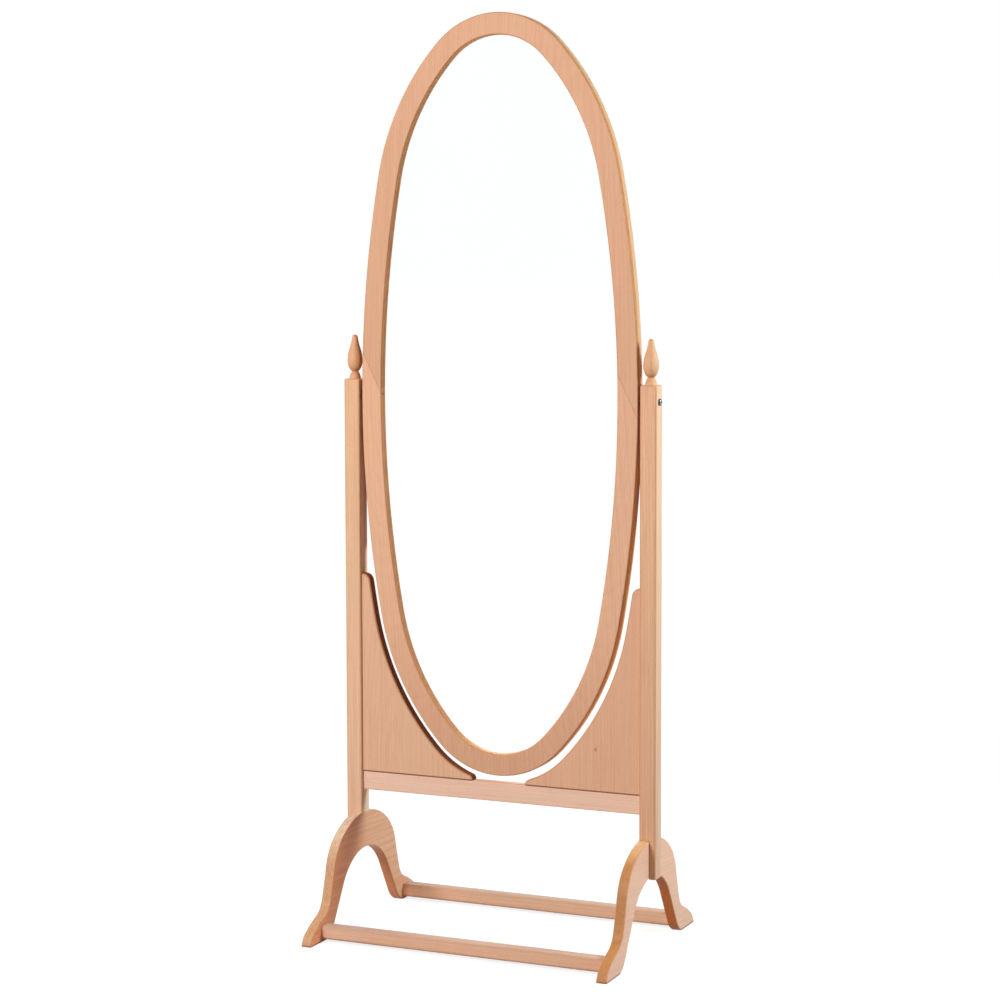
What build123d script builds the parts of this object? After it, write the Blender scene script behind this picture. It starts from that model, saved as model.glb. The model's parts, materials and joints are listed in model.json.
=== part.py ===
"""Cheval floor mirror: an oval mirror that tilts between two posts on arched feet.

Sizes are in millimetres. X runs across the mirror, -Y faces the viewer and Z is up.
The origin is on the floor, midway between the feet.
"""
import os
from math import acos, asin, cos, degrees, radians, sin, sqrt, tan

from build123d import *

os.makedirs("parts", exist_ok=True)

# Posts
POST_SPACING = 560.0
POST_SIZE = 30.0
POST_EDGE = 3.0
PIVOT_DROP = 28.5

# Finials
FINIAL_BASE_R = 10.6
FINIAL_BASE_H = 13.0
FINIAL_NECK_R = 5.6
FINIAL_HIP_R = 11.2
FINIAL_HIP_RISE = 7.5
FINIAL_BELLY_R = 13.4
FINIAL_BELLY_RISE = 11.5
FINIAL_TAPER_R = 9.9
FINIAL_TAPER_RISE = 21.0
FINIAL_TIP_R = 5.0
FINIAL_TIP_RISE = 20.5
FINIAL_CAP_RISE = 4.5
SPIGOT_R = 5.0
SPIGOT_CLEAR = 3.5

# Feet: steps out and down along the outer outline, from crown to toe
FOOT_THICK = 19.0
FOOT_EDGE = 2.5
SHOULDER_OUT = 88.0
SHOULDER_DOWN = 29.0
CALF_OUT = 33.0
CALF_DOWN = 49.5
ANKLE_OUT = 15.0
ANKLE_DOWN = 52.0
INSTEP_OUT = 24.0
INSTEP_DOWN = 25.0
TOE_OUT = 40.0
TOE_DOWN = 21.0
TIP_OUT = 13.0
TIP_DOWN = 20.0

# Feet: steps out and down along the arch, from its top to the heel
SPRING_OUT = 88.0
SPRING_DOWN = 51.0
LEG_OUT = 36.0
LEG_DOWN = 60.0
HEEL_OUT = 24.0
HEEL_DOWN = 20.0

# Seat of the post on the foot
SEAT_CUT = 1.0
TONGUE_DROP = 2.0

# Stretchers between the feet
STRETCHER_DEPTH = 26.0
STRETCHER_HEIGHT = 24.0
STRETCHER_EDGE = 5.0
STRETCHER_BOTTOM = 5.0
STRETCHER_PAST_HEEL = 12.0

# Oval frame: flank, shoulder and end arcs that run into each other
OVAL_HALF_H = 661.0
OVAL_END_R = 154.0
FLANK_ANGLE = 10.3
SHOULDER_ANGLE = 43.3
SIDE_GAP = 4.0
FRAME_THICK = 24.0
FRAME_FACE = 38.0
FRAME_EDGE = 2.5
FRAME_LIP = 9.0
RABBET_WIDTH = 9.0
SCARF_ANGLE = 64.0
LEFT_SCARF_RISE = 42.0
RIGHT_SCARF_RISE = 9.0
SCARF_NIB = 5.0

# Mirror glass, backing and the clips that hold them
GLASS_THICK = 4.0
GLASS_GAP = 1.0
BACKING_THICK = 3.0
CLIP_ANGLES = (5.0, 32.0)
CLIP_WIDTH = 14.0
CLIP_METAL = 1.2
CLIP_FOOT = 14.0
CLIP_TOE = 9.0
CLIP_GAP = 0.5
CLIP_SCREW_R = 1.5
CLIP_SCREW_LENGTH = 12.0
CLIP_HEAD_R = 3.2
CLIP_HEAD_H = 2.0

# Cross rail and the two corner panels that stand on it
RAIL_ABOVE_FOOT = 41.5
RAIL_CLEAR = 12.5
RAIL_HEIGHT = 34.0
RAIL_THICK = 16.0
RAIL_EDGE = 2.0
PANEL_THICK = 20.0
PANEL_TOP_WIDTH = 14.3
PANEL_GAP = 13.0
PANEL_TOP_FLAT = 1.0
PANEL_TIP_H = 7.0
PANEL_TIP_FLAT = 0.4
PANEL_EDGE = 4.0

# Pivot hardware
PIVOT_R = 3.0
PIVOT_PLAY = 0.06
PIVOT_END_PLAY = 0.1
BOLT_HEAD_R = 6.0
BOLT_HEAD_H = 3.4
BOLT_DOME = 2.2
BOLT_SLOT = 1.5
BOLT_SLOT_DEPTH = 1.8
BOLT_GRIP = 14.0
WASHER_R = 8.0
INSERT_R = 5.0
INSERT_LENGTH = 16.0

# Dowels
DOWEL_R = 4.0
DOWEL_LENGTH = 40.0
SMALL_DOWEL_R = 3.0
SMALL_DOWEL_LENGTH = 30.0
LAP_DOWEL_LENGTH = 18.0
LAP_DOWEL_COVER = 4.0
LAP_DOWEL_PITCH = 30.0
FOOT_DOWEL_DEPTH = 12.0
STRETCHER_DOWEL_PITCH = 12.0
RAIL_DOWEL_PITCH = 16.0
PANEL_DOWEL_LOW = 60.0
PANEL_DOWEL_PITCH = 150.0
PANEL_BASE_DOWEL_IN = 50.0
PANEL_BASE_DOWEL_PITCH = 80.0
GLUE_GAP = 0.1
HOLE_END_GAP = 0.5

# Places that follow from the sizes above
POST_X = POST_SPACING / 2
POST_INNER = POST_X - POST_SIZE / 2
POST_OUTER = POST_X + POST_SIZE / 2
CROWN_Z = SHOULDER_DOWN + CALF_DOWN + ANKLE_DOWN + INSTEP_DOWN + TOE_DOWN + TIP_DOWN
ARCH_TOP = SPRING_DOWN + LEG_DOWN + HEEL_DOWN
HEEL_Y = SPRING_OUT + LEG_OUT + HEEL_OUT
RAIL_TOP = CROWN_Z + RAIL_ABOVE_FOOT + RAIL_HEIGHT
PIVOT_Z = RAIL_TOP + RAIL_CLEAR + OVAL_HALF_H
POST_TOP = PIVOT_Z + PIVOT_DROP
SPIGOT_LENGTH = PIVOT_DROP - PIVOT_R - SPIGOT_CLEAR
FOOT_X = POST_INNER + FOOT_THICK / 2
FOOT_OUTER = POST_INNER + FOOT_THICK
SEAT_Z = CROWN_Z - SEAT_CUT
TONGUE_END = ARCH_TOP - TONGUE_DROP
OVAL_HALF_W = POST_INNER - SIDE_GAP
FRAME_FRONT = -FRAME_THICK / 2
FRAME_BACK = FRAME_THICK / 2
GLASS_FRONT = FRAME_FRONT + FRAME_LIP
GLASS_BACK = GLASS_FRONT + GLASS_THICK
BACKING_BACK = GLASS_BACK + BACKING_THICK
WALL_INSET = FRAME_FACE - RABBET_WIDTH
GLASS_INSET = WALL_INSET + GLASS_GAP
RAIL_Z = RAIL_TOP - RAIL_HEIGHT / 2
STRETCHER_Y = HEEL_Y + STRETCHER_PAST_HEEL
STRETCHER_Z = STRETCHER_BOTTOM + STRETCHER_HEIGHT / 2
LAP_DOWEL_IN_POST = POST_SIZE - FOOT_THICK - LAP_DOWEL_COVER
LAP_DOWEL_Z = (SEAT_Z + TONGUE_END) / 2
INSERT_HOLE = INSERT_LENGTH + HOLE_END_GAP

# Radii of the flank and shoulder arcs that close the oval on its width and height
flank_w = 1 - cos(radians(FLANK_ANGLE))
flank_h = sin(radians(FLANK_ANGLE))
shoulder_w = cos(radians(FLANK_ANGLE)) - cos(radians(SHOULDER_ANGLE))
shoulder_h = sin(radians(SHOULDER_ANGLE)) - sin(radians(FLANK_ANGLE))
left_w = OVAL_HALF_W - OVAL_END_R * cos(radians(SHOULDER_ANGLE))
left_h = OVAL_HALF_H - OVAL_END_R * (1 - sin(radians(SHOULDER_ANGLE)))
closing = flank_w * shoulder_h - flank_h * shoulder_w
FLANK_R = (left_w * shoulder_h - left_h * shoulder_w) / closing
SHOULDER_R = (flank_w * left_h - flank_h * left_w) / closing


def oval_arcs():
    """Centre, radius and last lean angle of the flank, shoulder and end arcs of a quarter."""
    flank_x = OVAL_HALF_W - FLANK_R
    shoulder_x = flank_x + (FLANK_R - SHOULDER_R) * cos(radians(FLANK_ANGLE))
    shoulder_z = (FLANK_R - SHOULDER_R) * sin(radians(FLANK_ANGLE))
    return [
        (flank_x, 0.0, FLANK_R, FLANK_ANGLE),
        (shoulder_x, shoulder_z, SHOULDER_R, SHOULDER_ANGLE),
        (0.0, OVAL_HALF_H - OVAL_END_R, OVAL_END_R, 90.0),
    ]


def oval_point(angle, inset, side_x=1, side_z=1):
    """Point whose outward normal leans by angle, moved in from the rim by inset."""
    x, z, radius, _ = next(arc for arc in oval_arcs() if angle <= arc[3])
    x += (radius - inset) * cos(radians(angle))
    z += (radius - inset) * sin(radians(angle))
    return side_x * x, side_z * z


def oval_lean(half_width, inset):
    """Lean of the outward normal where the oval, moved in by inset, has a given half width."""
    for x, _, radius, last in oval_arcs():
        lean = degrees(acos((half_width - x) / (radius - inset)))
        if lean <= last:
            return lean


def oval_line(inset):
    """Closed oval of eight arcs, inside the rim by inset or outside it when negative."""
    flank = (FLANK_R - inset, 2 * FLANK_ANGLE)
    shoulder = (SHOULDER_R - inset, SHOULDER_ANGLE - FLANK_ANGLE)
    end = (OVAL_END_R - inset, 180 - 2 * SHOULDER_ANGLE)
    lean = radians(FLANK_ANGLE)
    start = oval_point(FLANK_ANGLE, inset, 1, -1)
    arc = JernArc(start, (sin(lean), cos(lean)), *flank)
    for radius, size in (shoulder, end, shoulder, flank, shoulder, end, shoulder):
        arc = JernArc(arc @ 1, arc % 1, radius, size)


def upright(y):
    """Upright plane through the pivot axis height that faces the viewer."""
    return Plane(origin=(0, y, PIVOT_Z), x_dir=(1, 0, 0), z_dir=(0, -1, 0))


# Dowel places, as (y, z) on the side faces and (x, y) on the rail
rail_dowel_spots = [(0, RAIL_Z - RAIL_DOWEL_PITCH / 2), (0, RAIL_Z + RAIL_DOWEL_PITCH / 2)]
panel_dowel_low = RAIL_TOP + PANEL_DOWEL_LOW
panel_dowel_spots = [(0, panel_dowel_low), (0, panel_dowel_low + PANEL_DOWEL_PITCH)]
lap_dowel_spots = [(0, LAP_DOWEL_Z - LAP_DOWEL_PITCH / 2), (0, LAP_DOWEL_Z + LAP_DOWEL_PITCH / 2)]
front_dowel_spots = [
    (-STRETCHER_Y - STRETCHER_DOWEL_PITCH / 2, STRETCHER_Z),
    (-STRETCHER_Y + STRETCHER_DOWEL_PITCH / 2, STRETCHER_Z),
]
rear_dowel_spots = [(-y, z) for y, z in front_dowel_spots]
base_dowel_x = POST_INNER - PANEL_BASE_DOWEL_IN
base_dowel_spots = [(base_dowel_x, 0), (base_dowel_x - PANEL_BASE_DOWEL_PITCH, 0)]
half_dowel = DOWEL_LENGTH / 2 + HOLE_END_GAP
half_small_dowel = SMALL_DOWEL_LENGTH / 2 + HOLE_END_GAP
stretcher_dowel_hole = DOWEL_LENGTH - FOOT_DOWEL_DEPTH + HOLE_END_GAP

# Places of the clips, one set in each quarter of the oval
quarters = [(1, 1), (-1, 1), (-1, -1), (1, -1)]
clip_spots = [(angle, sx, sz) for angle in CLIP_ANGLES for sx, sz in quarters]
clip_screw_inset = WALL_INSET - CLIP_FOOT / 2
clip_screw_spots = [oval_point(angle, clip_screw_inset, sx, sz) for angle, sx, sz in clip_spots]


# Right post: square stock, notched at the foot so that a tongue laps over its outer face
with BuildPart() as right_post:
    with BuildSketch(Plane.XY.offset(TONGUE_END)):
        with Locations((POST_X, 0)):
            Rectangle(POST_SIZE, POST_SIZE)
    extrude(amount=POST_TOP - TONGUE_END)
    fillet(right_post.edges().filter_by(Axis.Z), POST_EDGE)
    fillet(right_post.faces().sort_by(Axis.Z)[-1].edges(), POST_EDGE)
    with BuildSketch(Plane.XY.offset(TONGUE_END)):
        with Locations((FOOT_X, 0)):
            Rectangle(FOOT_THICK, POST_SIZE)
    extrude(amount=SEAT_Z - TONGUE_END, mode=Mode.SUBTRACT)
    with BuildSketch(Plane.XY.offset(POST_TOP)):
        with Locations((POST_X, 0)):
            Circle(SPIGOT_R + GLUE_GAP)
    extrude(amount=-SPIGOT_LENGTH - HOLE_END_GAP, mode=Mode.SUBTRACT)
    with BuildSketch(Plane.YZ.offset(POST_INNER)):
        with Locations((0, PIVOT_Z)):
            Circle(PIVOT_R + PIVOT_PLAY)
    extrude(amount=POST_SIZE, mode=Mode.SUBTRACT)
    with BuildSketch(Plane.YZ.offset(POST_INNER)):
        with Locations(*rail_dowel_spots, *panel_dowel_spots):
            Circle(DOWEL_R + GLUE_GAP)
    extrude(amount=half_dowel, mode=Mode.SUBTRACT)
    with BuildSketch(Plane.YZ.offset(FOOT_OUTER)):
        with Locations(*lap_dowel_spots):
            Circle(DOWEL_R + GLUE_GAP)
    extrude(amount=LAP_DOWEL_IN_POST + HOLE_END_GAP, mode=Mode.SUBTRACT)
right_post.part.label = "right_post"
export_step(right_post.part, "parts/right_post.step")

with BuildPart() as left_post:
    mirror(right_post.part, about=Plane.YZ)
left_post.part.label = "left_post"
export_step(left_post.part, "parts/left_post.step")

# Right finial: turned blunt flame on a bell, with a spigot that glues into the post
hip_h = FINIAL_BASE_H + FINIAL_HIP_RISE
belly_h = hip_h + FINIAL_BELLY_RISE
taper_h = belly_h + FINIAL_TAPER_RISE
tip_h = taper_h + FINIAL_TIP_RISE
with BuildPart() as right_finial:
    with BuildSketch(Plane(origin=(POST_X, 0, POST_TOP), x_dir=(1, 0, 0), z_dir=(0, -1, 0))):
        with BuildLine():
            Polyline((0, -SPIGOT_LENGTH), (SPIGOT_R, -SPIGOT_LENGTH), (SPIGOT_R, 0), (FINIAL_BASE_R, 0))
            bell = TangentArc((FINIAL_BASE_R, 0), (FINIAL_NECK_R, FINIAL_BASE_H), tangent=(-0.15, 1))
            hip = TangentArc((FINIAL_BELLY_R, belly_h), (FINIAL_HIP_R, hip_h), tangent=(0, -1))
            TangentArc(hip @ 1, bell @ 1, tangent=hip % 1)
            flame = TangentArc(hip @ 0, (FINIAL_TAPER_R, taper_h), tangent=(0, 1))
            taper = TangentArc(flame @ 1, (FINIAL_TIP_R, tip_h), tangent=flame % 1)
            cap = TangentArc((0, tip_h + FINIAL_CAP_RISE), taper @ 1, tangent=(1, 0))
            Line(cap @ 0, (0, -SPIGOT_LENGTH))
        make_face()
    revolve(axis=Axis((POST_X, 0, 0), (0, 0, 1)))
right_finial.part.label = "right_finial"
export_step(right_finial.part, "parts/right_finial.step")

with BuildPart() as left_finial:
    mirror(right_finial.part, about=Plane.YZ)
left_finial.part.label = "left_finial"
export_step(left_finial.part, "parts/left_finial.step")

# Right foot: one arched board with rounded shoulders, drawn-in ankles and slipper toes
foot_steps = [
    (SHOULDER_OUT, SHOULDER_DOWN),
    (CALF_OUT, CALF_DOWN),
    (ANKLE_OUT, ANKLE_DOWN),
    (INSTEP_OUT, INSTEP_DOWN),
    (TOE_OUT, TOE_DOWN),
    (TIP_OUT, TIP_DOWN),
]
foot_points = [(0, CROWN_Z)]
for step_out, step_down in foot_steps:
    foot_points.append((foot_points[-1][0] + step_out, foot_points[-1][1] - step_down))
with BuildPart() as right_foot:
    with BuildSketch(Plane.YZ.offset(POST_INNER)):
        with BuildLine():
            crown = TangentArc((0, CROWN_Z), foot_points[1], tangent=(1, 0))
            shoulder = TangentArc(crown @ 1, foot_points[2], tangent=crown % 1)
            calf = TangentArc(shoulder @ 1, foot_points[3], tangent=shoulder % 1)
            ankle = TangentArc(calf @ 1, foot_points[4], tangent=calf % 1)
            instep = TangentArc(ankle @ 1, foot_points[5], tangent=ankle % 1)
            toe = TangentArc(instep @ 1, foot_points[6], tangent=instep % 1)
            Line(toe @ 1, (HEEL_Y, 0))
            arch = TangentArc((0, ARCH_TOP), (SPRING_OUT, LEG_DOWN + HEEL_DOWN), tangent=(1, 0))
            leg = Line(arch @ 1, (SPRING_OUT + LEG_OUT, HEEL_DOWN))
            TangentArc(leg @ 1, (HEEL_Y, 0), tangent=leg % 1)
            mirror(about=Plane.YZ)
        make_face()
    extrude(amount=FOOT_THICK)
    side_edges = right_foot.faces().filter_by(Axis.X).edges()
    fillet(side_edges.filter_by(lambda edge: edge.bounding_box().max.Z > FOOT_EDGE), FOOT_EDGE)
    with BuildSketch(Plane.XY.offset(SEAT_Z)):
        with Locations((FOOT_X, 0)):
            Rectangle(FOOT_THICK, POST_SIZE)
    extrude(amount=2 * SEAT_CUT, mode=Mode.SUBTRACT)
    with BuildSketch(Plane.YZ.offset(POST_INNER)):
        with Locations(*front_dowel_spots, *rear_dowel_spots):
            Circle(DOWEL_R + GLUE_GAP)
    extrude(amount=FOOT_DOWEL_DEPTH + HOLE_END_GAP, mode=Mode.SUBTRACT)
    with BuildSketch(Plane.YZ.offset(FOOT_OUTER)):
        with Locations(*lap_dowel_spots):
            Circle(DOWEL_R + GLUE_GAP)
    extrude(amount=LAP_DOWEL_IN_POST - LAP_DOWEL_LENGTH - HOLE_END_GAP, mode=Mode.SUBTRACT)
right_foot.part.label = "right_foot"
export_step(right_foot.part, "parts/right_foot.step")

with BuildPart() as left_foot:
    mirror(right_foot.part, about=Plane.YZ)
left_foot.part.label = "left_foot"
export_step(left_foot.part, "parts/left_foot.step")

# Front stretcher: rounded bar between the feet, doweled into their inner faces
with BuildPart() as front_stretcher:
    with BuildSketch(Plane.YZ.offset(-POST_INNER)):
        with Locations((-STRETCHER_Y, STRETCHER_Z)):
            RectangleRounded(STRETCHER_DEPTH, STRETCHER_HEIGHT, STRETCHER_EDGE)
    extrude(amount=2 * POST_INNER)
    with BuildSketch(Plane.YZ.offset(-POST_INNER)):
        with Locations(*front_dowel_spots):
            Circle(DOWEL_R + GLUE_GAP)
    extrude(amount=stretcher_dowel_hole, mode=Mode.SUBTRACT)
    with BuildSketch(Plane.YZ.offset(POST_INNER)):
        with Locations(*front_dowel_spots):
            Circle(DOWEL_R + GLUE_GAP)
    extrude(amount=-stretcher_dowel_hole, mode=Mode.SUBTRACT)
front_stretcher.part.label = "front_stretcher"
export_step(front_stretcher.part, "parts/front_stretcher.step")

with BuildPart() as rear_stretcher:
    mirror(front_stretcher.part, about=Plane.XZ)
rear_stretcher.part.label = "rear_stretcher"
export_step(rear_stretcher.part, "parts/rear_stretcher.step")

# Cross rail: ties the posts together just under the oval
with BuildPart() as cross_rail:
    with BuildSketch(Plane.YZ.offset(-POST_INNER)):
        with Locations((0, RAIL_Z)):
            RectangleRounded(RAIL_THICK, RAIL_HEIGHT, RAIL_EDGE)
    extrude(amount=2 * POST_INNER)
    with BuildSketch(Plane.YZ.offset(-POST_INNER)):
        with Locations(*rail_dowel_spots):
            Circle(DOWEL_R + GLUE_GAP)
    extrude(amount=half_dowel, mode=Mode.SUBTRACT)
    with BuildSketch(Plane.YZ.offset(POST_INNER)):
        with Locations(*rail_dowel_spots):
            Circle(DOWEL_R + GLUE_GAP)
    extrude(amount=-half_dowel, mode=Mode.SUBTRACT)
    with BuildSketch(Plane.XY.offset(RAIL_TOP)):
        with Locations(*base_dowel_spots, *[(-x, y) for x, y in base_dowel_spots]):
            Circle(SMALL_DOWEL_R + GLUE_GAP)
    extrude(amount=-half_small_dowel, mode=Mode.SUBTRACT)
cross_rail.part.label = "cross_rail"
export_step(cross_rail.part, "parts/cross_rail.step")

# Right panel: fills the corner between post and rail, its edge following the oval
panel_lean = oval_lean(POST_INNER - PANEL_TOP_WIDTH, -PANEL_GAP)
panel_top = -oval_point(panel_lean, -PANEL_GAP)[1]
nose_r = (PANEL_TOP_WIDTH - PANEL_TOP_FLAT) / tan(radians(90 - panel_lean) / 2)
panel_base = RAIL_TOP - PIVOT_Z
end_drop = OVAL_HALF_H - OVAL_END_R + panel_base + PANEL_TIP_H
panel_tip_x = sqrt((OVAL_END_R + PANEL_GAP) ** 2 - end_drop**2)
tip_slope = asin(panel_tip_x / (OVAL_END_R + PANEL_GAP))
tip_r = (PANEL_TIP_H - PANEL_TIP_FLAT) / tan((radians(90) - tip_slope) / 2)
with BuildPart() as right_panel:
    with BuildSketch(upright(-PANEL_THICK / 2)) as panel_outline:
        with Locations(((panel_tip_x + POST_INNER) / 2, (panel_top + panel_base) / 2)):
            Rectangle(POST_INNER - panel_tip_x, panel_top - panel_base)
        with BuildLine():
            oval_line(-PANEL_GAP)
        make_face(mode=Mode.SUBTRACT)
        nose = panel_outline.vertices().group_by(Axis.Y)[-1].sort_by(Axis.X)[0]
        fillet(nose, nose_r)
        tip = panel_outline.vertices().group_by(Axis.X)[0].sort_by(Axis.Y)[-1]
        fillet(tip, tip_r)
    extrude(amount=-PANEL_THICK)
    face_edges = right_panel.faces().filter_by(Axis.Y).edges()
    shaped = face_edges.filter_by(lambda edge: edge.geom_type != GeomType.LINE)
    fillet(shaped, PANEL_EDGE)
    with BuildSketch(Plane.YZ.offset(POST_INNER)):
        with Locations(*panel_dowel_spots):
            Circle(DOWEL_R + GLUE_GAP)
    extrude(amount=-half_dowel, mode=Mode.SUBTRACT)
    with BuildSketch(Plane.XY.offset(RAIL_TOP)):
        with Locations(*base_dowel_spots):
            Circle(SMALL_DOWEL_R + GLUE_GAP)
    extrude(amount=half_small_dowel, mode=Mode.SUBTRACT)
right_panel.part.label = "right_panel"
export_step(right_panel.part, "parts/right_panel.step")

with BuildPart() as left_panel:
    mirror(right_panel.part, about=Plane.YZ)
left_panel.part.label = "left_panel"
export_step(left_panel.part, "parts/left_panel.step")

# Dowels hidden in the joints of the stand
with BuildPart() as lap_dowels:
    with BuildSketch(Plane.YZ.offset(FOOT_OUTER + LAP_DOWEL_IN_POST)):
        with Locations(*lap_dowel_spots):
            Circle(DOWEL_R)
    extrude(amount=-LAP_DOWEL_LENGTH)
    mirror(about=Plane.YZ)
lap_dowels.part.label = "lap_dowels"
export_step(lap_dowels.part, "parts/lap_dowels.step")

with BuildPart() as stretcher_dowels:
    with BuildSketch(Plane.YZ.offset(POST_INNER + FOOT_DOWEL_DEPTH)):
        with Locations(*front_dowel_spots, *rear_dowel_spots):
            Circle(DOWEL_R)
    extrude(amount=-DOWEL_LENGTH)
    mirror(about=Plane.YZ)
stretcher_dowels.part.label = "stretcher_dowels"
export_step(stretcher_dowels.part, "parts/stretcher_dowels.step")

with BuildPart() as rail_dowels:
    with BuildSketch(Plane.YZ.offset(POST_INNER)):
        with Locations(*rail_dowel_spots):
            Circle(DOWEL_R)
    extrude(amount=DOWEL_LENGTH / 2, both=True)
    mirror(about=Plane.YZ)
rail_dowels.part.label = "rail_dowels"
export_step(rail_dowels.part, "parts/rail_dowels.step")

with BuildPart() as panel_side_dowels:
    with BuildSketch(Plane.YZ.offset(POST_INNER)):
        with Locations(*panel_dowel_spots):
            Circle(DOWEL_R)
    extrude(amount=DOWEL_LENGTH / 2, both=True)
    mirror(about=Plane.YZ)
panel_side_dowels.part.label = "panel_side_dowels"
export_step(panel_side_dowels.part, "parts/panel_side_dowels.step")

with BuildPart() as panel_base_dowels:
    with BuildSketch(Plane.XY.offset(RAIL_TOP)):
        with Locations(*base_dowel_spots):
            Circle(SMALL_DOWEL_R)
    extrude(amount=SMALL_DOWEL_LENGTH / 2, both=True)
    mirror(about=Plane.YZ)
panel_base_dowels.part.label = "panel_base_dowels"
export_step(panel_base_dowels.part, "parts/panel_base_dowels.step")

# Slanting line that parts the oval on its two limbs, blunted by a square nib at each edge
outside_x = OVAL_HALF_W + FRAME_FACE
nib_out_x = OVAL_HALF_W - SCARF_NIB
nib_in_x = OVAL_HALF_W - FRAME_FACE + SCARF_NIB
inside_x = OVAL_HALF_W - 1.5 * FRAME_FACE
beyond_z = OVAL_HALF_H + FRAME_FACE
scarf_fall = tan(radians(SCARF_ANGLE)) * (nib_out_x - nib_in_x) / 2
scarf_points = [
    (-outside_x, LEFT_SCARF_RISE + scarf_fall),
    (-nib_out_x, LEFT_SCARF_RISE + scarf_fall),
    (-nib_in_x, LEFT_SCARF_RISE - scarf_fall),
    (-inside_x, LEFT_SCARF_RISE - scarf_fall),
    (inside_x, RIGHT_SCARF_RISE + scarf_fall),
    (nib_in_x, RIGHT_SCARF_RISE + scarf_fall),
    (nib_out_x, RIGHT_SCARF_RISE - scarf_fall),
    (outside_x, RIGHT_SCARF_RISE - scarf_fall),
]

# Oval frame in two halves glued at the slanting joints, rabbeted at the back for the glass
with BuildPart() as frame_upper:
    with BuildSketch(upright(FRAME_FRONT)):
        with BuildLine():
            oval_line(0)
        make_face()
        with BuildLine():
            oval_line(FRAME_FACE)
        make_face(mode=Mode.SUBTRACT)
        with BuildLine():
            Polyline(*scarf_points, (outside_x, beyond_z), (-outside_x, beyond_z), close=True)
        make_face(mode=Mode.INTERSECT)
    extrude(amount=-FRAME_THICK)
    fillet(frame_upper.edges().filter_by(GeomType.CIRCLE), FRAME_EDGE)
    with BuildSketch(upright(FRAME_BACK)):
        with BuildLine():
            oval_line(WALL_INSET)
        make_face()
    extrude(amount=FRAME_THICK - FRAME_LIP, mode=Mode.SUBTRACT)
    with BuildSketch(upright(FRAME_BACK)):
        with Locations(*clip_screw_spots):
            Circle(CLIP_SCREW_R + GLUE_GAP)
    extrude(amount=CLIP_SCREW_LENGTH + HOLE_END_GAP, mode=Mode.SUBTRACT)
    with BuildSketch(Plane.YZ.offset(OVAL_HALF_W - INSERT_HOLE)):
        with Locations((0, PIVOT_Z)):
            Circle(INSERT_R + GLUE_GAP)
    extrude(amount=2 * INSERT_HOLE, mode=Mode.SUBTRACT)
    with BuildSketch(Plane.YZ.offset(INSERT_HOLE - OVAL_HALF_W)):
        with Locations((0, PIVOT_Z)):
            Circle(INSERT_R + GLUE_GAP)
    extrude(amount=-2 * INSERT_HOLE, mode=Mode.SUBTRACT)
frame_upper.part.label = "frame_upper"
export_step(frame_upper.part, "parts/frame_upper.step")

with BuildPart() as frame_lower:
    with BuildSketch(upright(FRAME_FRONT)):
        with BuildLine():
            oval_line(0)
        make_face()
        with BuildLine():
            oval_line(FRAME_FACE)
        make_face(mode=Mode.SUBTRACT)
        with BuildLine():
            Polyline(*scarf_points, (outside_x, -beyond_z), (-outside_x, -beyond_z), close=True)
        make_face(mode=Mode.INTERSECT)
    extrude(amount=-FRAME_THICK)
    fillet(frame_lower.edges().filter_by(GeomType.CIRCLE), FRAME_EDGE)
    with BuildSketch(upright(FRAME_BACK)):
        with BuildLine():
            oval_line(WALL_INSET)
        make_face()
    extrude(amount=FRAME_THICK - FRAME_LIP, mode=Mode.SUBTRACT)
    with BuildSketch(upright(FRAME_BACK)):
        with Locations(*clip_screw_spots):
            Circle(CLIP_SCREW_R + GLUE_GAP)
    extrude(amount=CLIP_SCREW_LENGTH + HOLE_END_GAP, mode=Mode.SUBTRACT)
    with BuildSketch(Plane.YZ.offset(OVAL_HALF_W - INSERT_HOLE)):
        with Locations((0, PIVOT_Z)):
            Circle(INSERT_R + GLUE_GAP)
    extrude(amount=2 * INSERT_HOLE, mode=Mode.SUBTRACT)
    with BuildSketch(Plane.YZ.offset(INSERT_HOLE - OVAL_HALF_W)):
        with Locations((0, PIVOT_Z)):
            Circle(INSERT_R + GLUE_GAP)
    extrude(amount=-2 * INSERT_HOLE, mode=Mode.SUBTRACT)
frame_lower.part.label = "frame_lower"
export_step(frame_lower.part, "parts/frame_lower.step")

# Mirror glass in the rabbet, with a backing board of the same outline behind it
with BuildPart() as mirror_glass:
    with BuildSketch(upright(GLASS_FRONT)):
        with BuildLine():
            oval_line(GLASS_INSET)
        make_face()
    extrude(amount=-GLASS_THICK)
mirror_glass.part.label = "mirror_glass"
export_step(mirror_glass.part, "parts/mirror_glass.step")

with BuildPart() as backing_board:
    with BuildSketch(upright(GLASS_BACK)):
        with BuildLine():
            oval_line(GLASS_INSET)
        make_face()
    extrude(amount=-BACKING_THICK)
backing_board.part.label = "backing_board"
export_step(backing_board.part, "parts/backing_board.step")

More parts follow.
